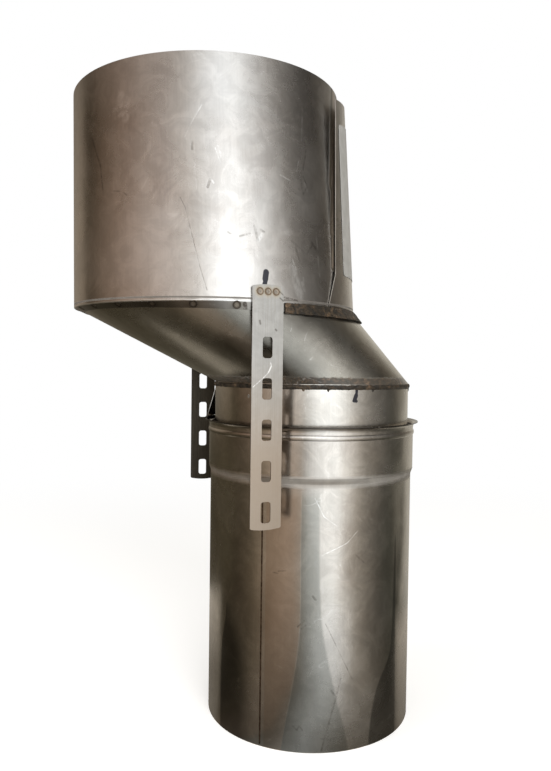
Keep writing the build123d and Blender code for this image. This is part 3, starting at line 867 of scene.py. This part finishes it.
def lumpy_bead(node, name, material, tall=1.0, drips=()):
    """Bead of sealant: the solid's shape, made even, then pushed into lumps, with hanging drips.

    Each drip is its place round the collar in degrees, its level, half its width and half its length
    in millimetres."""
    bead = bpy.data.objects.new(name, nodes[node].data.copy())
    bpy.context.scene.collection.objects.link(bead)
    pick(bead)
    bpy.ops.object.mode_set(mode="EDIT")
    bpy.ops.mesh.select_all(action="SELECT")
    bpy.ops.mesh.remove_doubles(threshold=0.01 * mm)
    # Wiped thin towards its upper edge
    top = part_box(node)[1][2]
    bpy.ops.transform.resize(value=(1.0, 1.0, tall), center_override=(0.0, 0.0, top))
    bpy.ops.object.mode_set(mode="OBJECT")
    parts = [bead]
    for degrees, level, wide, long in drips:
        turn = math.radians(degrees)
        pick()
        bpy.ops.mesh.primitive_uv_sphere_add(
            segments=16, ring_count=10, radius=1.0,
            location=(collar_radius * math.sin(turn), -collar_radius * math.cos(turn), level * mm),
            rotation=(0, 0, turn), scale=(wide * mm, 0.9 * mm, long * mm),
        )
        drip = bpy.context.object
        apply_all(drip)
        parts.append(drip)
    bead = joined(parts, name)
    even = bead.modifiers.new("even", "REMESH")
    even.mode = "VOXEL"
    even.voxel_size = 0.45 * mm
    lumps = bpy.data.textures.new(name + "_lumps", "CLOUDS")
    lumps.noise_scale = 5.0 * mm
    lumps.noise_depth = 3
    push = bead.modifiers.new("lumps", "DISPLACE")
    push.texture = lumps
    push.texture_coords = "LOCAL"
    push.strength = 1.0 * mm
    push.mid_level = 0.55
    apply_all(bead)
    # Crumbs that come loose are left out
    bpy.ops.mesh.separate(type="LOOSE")
    bits = sorted(bpy.context.selected_objects, key=lambda bit: len(bit.data.polygons))
    bead = bits.pop()
    for crumb in bits:
        bpy.data.objects.remove(crumb)
    bead.name = name
    bead.data.name = name
    finish_piece(bead, material, 60.0)
    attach(bead, "adapter")
    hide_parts(node)


def hem_roll(material):
    """Rounded fold between the sleeve and its flange."""
    fold = 1.1 * mm
    pick()
    bpy.ops.mesh.primitive_torus_add(
        major_segments=220, minor_segments=12, major_radius=sleeve_radius - fold, minor_radius=fold,
        location=(sleeve_x, 0.0, sleeve_foot - 0.3 * mm),
    )
    roll = bpy.context.object
    roll.name = "folded_hem"
    roll.data.name = "folded_hem"
    apply_all(roll)
    finish_piece(roll, material, 60.0)
    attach(roll, "adapter")


place_camera()
studio_world()
studio_floor()
reflection_cards()
studio_lamp("front_softbox", (0.55, -1.9, 1.3), (-0.05, 0.0, 0.3), 1.4, 28.0)
studio_lamp("left_softbox", (-1.8, -0.9, 1.2), (-0.05, 0.0, 0.3), 1.4, 12.0)

sleeve_steel = stainless_sheet(
    "rolled_stainless_sleeve", sleeve_low, sleeve_high, "#bfb9b1", "#b0a89f", "#cac5be", roughness=0.24,
    pale=[
        ((13.4, 554.9), (4.3, 540.7), 0.25, 0.5), ((4.3, 540.7), (-2.2, 528.5), 0.2, 0.5),
        ((-66.9, 554.8), (-56.4, 560.0), 3.0, 5.0), ((-63.0, 568.0), (-58.0, 549.0), 2.0, 4.0),
        ((98.5, 412.8), (100.4, 406.9), 1.2, 0.7), ((99.9, 417.2), (100.4, 408.0), 0.5, 0.6),
        ((108.5, 500.0), (111.5, 494.0), 0.8, 0.8), ((111.5, 565.0), (108.0, 538.0), 0.4, 0.8),
        ((88.0, 424.0), (95.0, 402.0), 2.0, 4.0), ((120.0, 455.0), (121.0, 420.0), 0.4, 0.7),
        ((81.5, 503.2), (91.7, 499.5), 0.4, 0.5), ((99.2, 508.5), (103.0, 519.0), 0.3, 0.5),
        ((57.1, 445.8), (60.5, 450.5), 1.0, 1.0), ((18.6, 494.5), (21.0, 491.0), 0.5, 0.6),
        ((23.5, 520.0), (27.5, 508.0), 0.25, 0.4), ((92.6, 423.4), (89.0, 432.0), 0.5, 0.6),
    ],
    scored=[
        ((-75.3, 488.6), (-66.0, 487.4), 0.4, 0.5), ((-64.0, 487.0), (-58.1, 483.4), 0.3, 0.4),
        ((113.4, 530.0), (108.0, 512.0), 0.4, 0.8), ((104.5, 502.0), (106.5, 491.0), 0.8, 1.0),
        ((106.5, 491.0), (112.0, 498.0), 0.5, 0.8), ((112.0, 498.0), (107.5, 506.0), 0.4, 0.7),
        ((90.0, 448.0), (106.0, 438.0), 0.4, 0.9), ((106.0, 438.0), (114.0, 447.0), 0.4, 0.8),
        ((113.8, 449.1), (121.1, 442.1), 0.8, 1.0), ((94.2, 442.5), (97.8, 430.8), 0.5, 0.8),
        ((-104.0, 539.0), (-91.0, 513.0), 0.5, 1.0), ((-91.0, 513.0), (-87.0, 487.0), 0.5, 1.0),
        ((3.7, 524.5), (3.6, 518.5), 0.7, 0.7), ((17.9, 494.0), (15.6, 487.5), 0.8, 0.7),
        ((-8.0, 478.9), (-4.0, 470.7), 0.2, 0.4), ((-4.0, 470.7), (6.9, 421.4), 0.2, 0.4),
        ((6.9, 421.4), (12.0, 402.6), 0.2, 0.4), ((54.7, 457.5), (57.1, 445.8), 0.7, 0.8),
        ((60.0, 454.8), (63.2, 453.0), 0.6, 0.6), ((31.3, 450.9), (33.5, 449.6), 0.5, 0.6),
        ((41.4, 448.1), (50.2, 451.1), 0.4, 0.8),
    ],
    ink=[((62.9, 419.3), (61.8, 413.5), 2.3, 0.6), ((62.3, 413.5), (60.8, 408.6), 1.7, 0.6)],
    burnt=[((76.0, 399.5), (92.0, 397.0), 0.6, 0.7), ((43.0, 392.0), (43.8, 385.5), 1.3, 1.0)],
    # Painted light and shade in the gap of the lap
    gap_paint=[
        ((184.0, 612.0), (168.0, 552.0), 3.0, 12.0), ((168.0, 552.0), (158.0, 508.0), 2.0, 12.0),
        ((158.0, 508.0), (149.0, 463.0), 1.0, 8.0), ((149.0, 463.0), (143.5, 432.0), 0.5, 5.0),
    ],
    # Painted shade on the flange and in the groove above the fold
    welded_and_shaded_flange=True, folded_hem_groove_shade=True,
)
pipe_steel = stainless_sheet(
    "rolled_stainless_pipe", pipe_low, pipe_high, "#bfb8ae", "#b1a89e", "#c8c2ba", roughness=0.19,
    scored=[
        ((30.7, 65.2), (13.5, 2.0), 0.6, 0.4), ((15.8, 115.0), (41.4, 64.0), 0.2, 0.4),
        ((-32.0, 158.5), (-28.0, 158.0), 0.3, 0.4), ((-27.0, 160.0), (-20.0, 161.0), 0.3, 0.4),
        ((4.0, 139.5), (6.5, 136.5), 0.7, 0.6), ((43.0, 175.0), (52.0, 167.0), 0.3, 0.4),
        ((-9.0, 112.0), (-3.5, 117.5), 0.4, 0.6), ((-6.0, 110.0), (-2.0, 113.5), 0.3, 0.5),
        ((-12.0, 23.5), (-8.0, 20.0), 0.4, 0.5), ((-8.0, 20.0), (-6.5, 24.0), 0.4, 0.5),
        ((-6.5, 24.0), (-3.5, 20.5), 0.4, 0.5), ((13.0, 13.0), (22.0, 11.0), 0.3, 0.5),
        ((48.5, 42.0), (50.0, 37.0), 0.6, 0.6), ((22.0, 55.0), (25.0, 51.0), 0.6, 0.6),
    ],
    pale=[
        ((12.0, 176.0), (34.0, 186.0), 0.25, 0.4), ((34.0, 186.0), (44.0, 196.0), 0.25, 0.4),
        ((5.0, 226.0), (13.0, 210.0), 0.25, 0.4), ((13.0, 210.0), (24.0, 202.0), 0.25, 0.4),
    ],
    # Painted reflections of the room, laid into the pipe's colour
    painted_reflections=[
        # Painted reflection: brown band between the seam and a wandering line
        ("#a8937f", 0.42, (0.5, 0.8), [
            (-5.0, -39.0, -24.0), (22.0, -39.0, -19.0), (46.0, -39.0, -16.0), (82.0, -39.0, -9.5),
            (120.0, -39.0, -6.0), (171.0, -39.0, -7.5), (236.0, -39.0, -7.0),
        ]),
        # Painted reflection: grey wedge that widens downwards
        ("#75776f", 0.48, (0.8, 1.6), [
            (-5.0, -24.0, 40.0), (22.0, -19.0, 34.0), (46.0, -15.0, 27.0), (82.0, -8.5, 18.0),
            (120.0, -5.5, 11.0), (171.0, -7.0, 9.5), (236.0, -6.5, 9.0),
        ]),
        # Painted reflection: dark band at the foot on the right
        ("#3d3d37", 0.58, (1.2, 1.0), [
            (-5.0, 59.0, 97.0), (22.0, 61.0, 97.0), (44.0, 66.0, 96.5), (58.0, 72.0, 96.0),
            (70.0, 83.0, 95.5), (84.0, 88.0, 95.0), (104.0, 89.5, 95.0), (150.0, 91.0, 94.5),
            (190.0, 92.0, 93.0),
        ]),
        # Painted reflection: dark band at the foot on the left
        ("#2b2822", 0.66, (1.0, 13.0), [
            (-5.0, -95.0, -56.0), (30.0, -95.0, -57.0), (60.0, -95.0, -60.0), (84.0, -93.0, -64.0),
            (96.0, -90.0, -72.0), (106.0, -87.0, -80.0), (124.0, -86.0, -86.0),
        ]),
    ],
    # The lip's edge gets painted shade
    creases=(238.0, 241.0), shaded_lip_edge=True,
)
collar_steel = stainless_sheet(
    "rolled_stainless_collar", collar_low, collar_high, "#c2bcb2", "#b3aca2", "#ccc7bf", roughness=0.19,
    ink=[
        ((41.8, 322.0), (41.4, 316.0), 1.1, 0.5), ((41.2, 316.0), (39.6, 311.6), 1.7, 0.5),
        ((38.8, 311.2), (41.6, 310.8), 1.1, 0.5),
    ],
    # The sprung end's cut edge gets a painted highlight
    burnt=[((-60.0, 314.2), (-60.0, 313.0), 0.8, 0.6)], sprung_edge_highlight=True,
)
cone_steel = stainless_sheet(
    "rolled_stainless_cone", cone_low, cone_high, "#b4afa4", "#a09a8e", "#bdb8ac", roughness=0.22,
    # Painted shade in patches on the cone's front
    painted_shading=[("#45413a", 0.62, [
        ((12.0, 350.0), (34.0, 394.0), 10.0, 26.0), ((4.0, 334.0), (-14.0, 352.0), 8.0, 18.0),
        ((34.0, 372.0), (60.0, 390.0), 4.0, 20.0),
    ])],
    smeared=True,
)
# Painted highlight: the fold gets a paler copy of the sleeve's steel
hem_highlight_steel = stainless_sheet(
    "folded_stainless_hem_highlight", sleeve_low, sleeve_high, "#e2dfda", "#d0cbc4", "#ebe9e6", roughness=0.32
)
front_satin = satin_strap(
    # The brown tint at the foot is a painted reflection
    "satin_front_strap", front_strap_turn, "#a19c94", "#aca8a1", reflection_tint="#a18f7c",
    pale=[
        ((2.4, 345.5), (3.6, 341.0), 0.15, 0.4), ((3.6, 341.0), (0.8, 335.1), 0.4, 0.4),
        ((0.8, 335.1), (-4.6, 330.1), 0.2, 0.4), ((-4.6, 330.1), (-12.6, 323.4), 0.15, 0.4),
    ],
    # Painted shade where the strap is dented
    dent_shade=[
        ((-7.4, 378.5), (-6.8, 376.0), 0.5, 0.7), ((7.0, 371.6), (7.8, 370.8), 0.5, 0.6),
        ((7.4, 406.0), (14.0, 400.5), 0.3, 0.4), ((10.8, 398.0), (14.0, 395.5), 0.4, 0.4),
    ],
)
# Painted shade: the rear strap gets a dark copy of the strap's satin, as it lies in the cone's shadow
shaded_rear_satin = satin_strap("shaded_rear_strap", rear_strap_turn, "#4c483f", "#5d584e")
flange_metal = weld_metal("oxidised_flange_weld")
front_metal = weld_metal("tinted_front_weld", front_strap_turn)
rear_metal = weld_metal("tinted_rear_weld", rear_strap_turn)
sealant = burnt_sealant()
# Glass rope black with soot, its fibre tufts 2.4 mm across
sooted_rope = plain_finish("sooted_glass_rope", "#1f1b18", "#3d362f", 420.0, 0.95, relief=0.7, depth=0.6)
# Matt plastic film, mottled 11 mm across
label_film = plain_finish("matt_label_film", "#a5a39e", "#b2b0ab", 90.0, 0.5, relief=0.1)
# Weld metal, oxidised dull, its ripples 3 mm across
seam_metal = plain_finish("dull_seam_weld", "#4a3c30", "#7a6a5a", 300.0, 0.45, metallic=1.0, relief=0.5)

dressed = {
    "upper_sleeve": sleeve_steel, "flue_pipe": pipe_steel, "lower_collar": collar_steel,
    "offset_cone": cone_steel, "front_strap": front_satin, "rear_strap": shaded_rear_satin,
    "pipe_seam_weld": seam_metal, "blank_label": label_film,
}
for node, finish in dressed.items():
    for slot in nodes[node].material_slots:
        slot.material = finish

rope_ring(sooted_rope)
flange_nuggets(flange_metal)
strap_nuggets("front", front_strap_turn, front_metal)
strap_nuggets("rear", rear_strap_turn, rear_metal)
hem_roll(hem_highlight_steel)
lumpy_bead("upper_seam_sealant", "upper_sealant_bead", sealant)
lumpy_bead(
    "lower_seam_sealant", "lower_sealant_bead", sealant, tall=0.62,
    drips=[(-4, 320.2, 1.2, 1.3), (9, 320.4, 1.0, 1.6), (35, 320.2, 1.1, 1.2), (81, 319.4, 1.2, 2.2)],
)

bpy.context.scene.view_settings.view_transform = "Standard"
